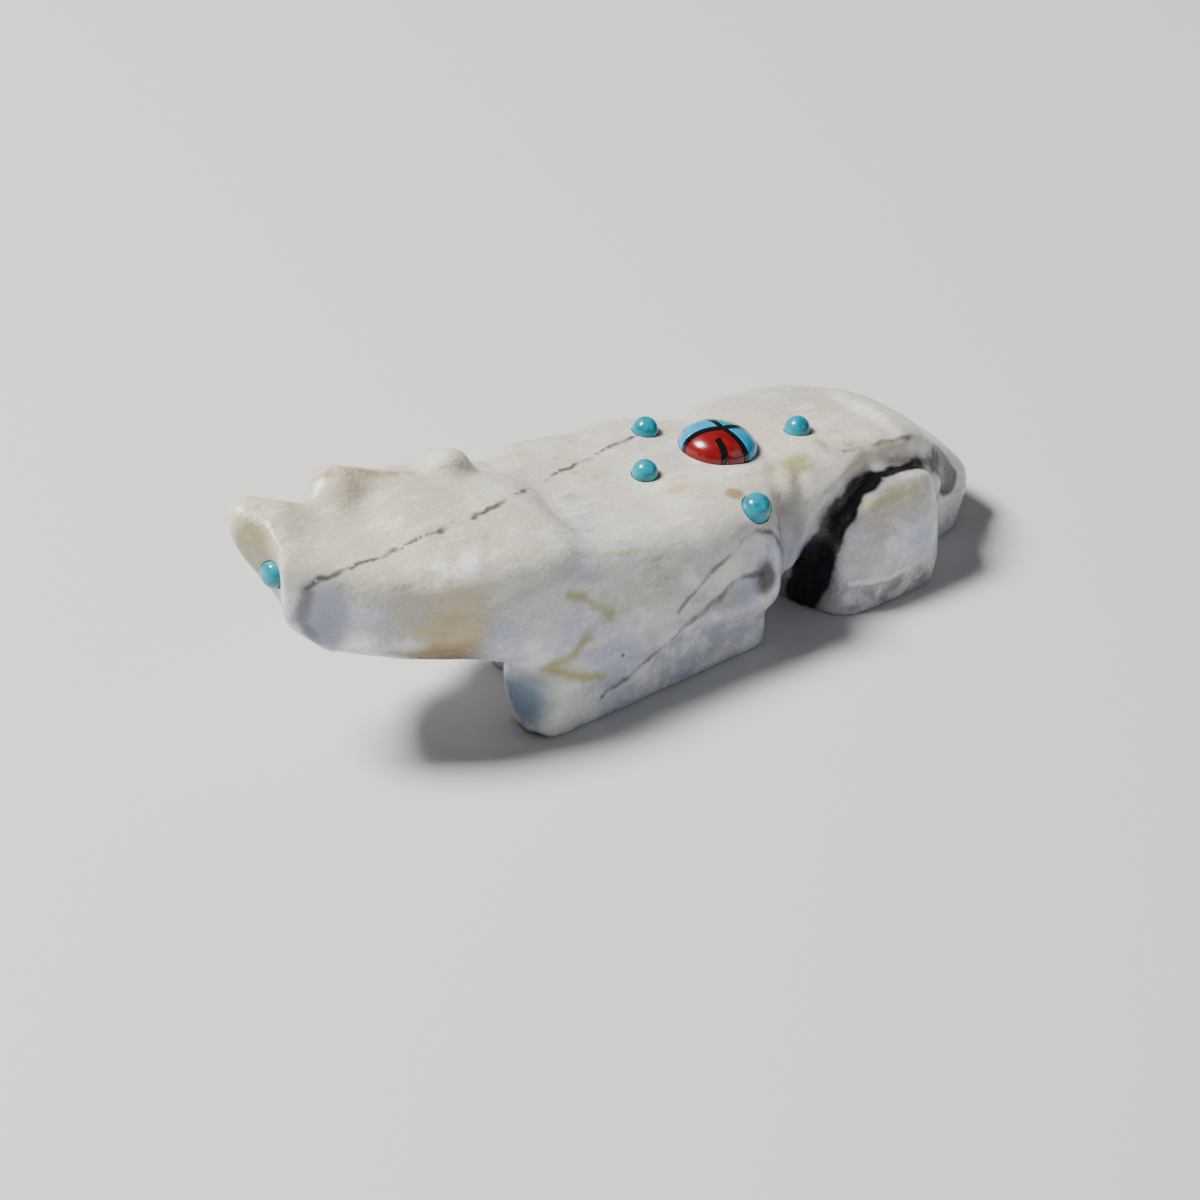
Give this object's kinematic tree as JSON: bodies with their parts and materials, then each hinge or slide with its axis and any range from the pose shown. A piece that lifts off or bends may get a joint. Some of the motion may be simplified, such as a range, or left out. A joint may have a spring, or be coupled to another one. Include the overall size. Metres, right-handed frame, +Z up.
{
  "type": "carved stone animal figurine",
  "caption": "Small standing animal carved from veined marble, head turned to its right, with turquoise eyes and a domed inlaid sun with round turquoise dots on its back.",
  "frame": {"origin": "on the ground under the middle of the carving's bounding box", "axes": "+Z up, -X the way the body faces, -Y towards the animal's left side"},
  "size_m": [0.064, 0.0178, 0.0206],
  "materials": {
    "marble": "hand polished",
    "turquoise": "polished",
    "bright_turquoise": "polished",
    "coral": "polished",
    "jet": "polished"
  },
  "bodies": {
    "root": {"stone_animal": "marble", "eye_left": "turquoise", "eye_right": "turquoise", "dot_front": "turquoise", "dot_rear": "turquoise", "dot_left": "turquoise", "dot_right": "turquoise", "sun_coral": "coral", "sun_turquoise_left": "bright_turquoise", "sun_turquoise_right": "bright_turquoise", "sun_turquoise_top": "turquoise", "sun_jet_cross": "jet", "sun_jet_bar": "jet", "sun_jet_rim": "jet"}
  },
  "joints": []
}
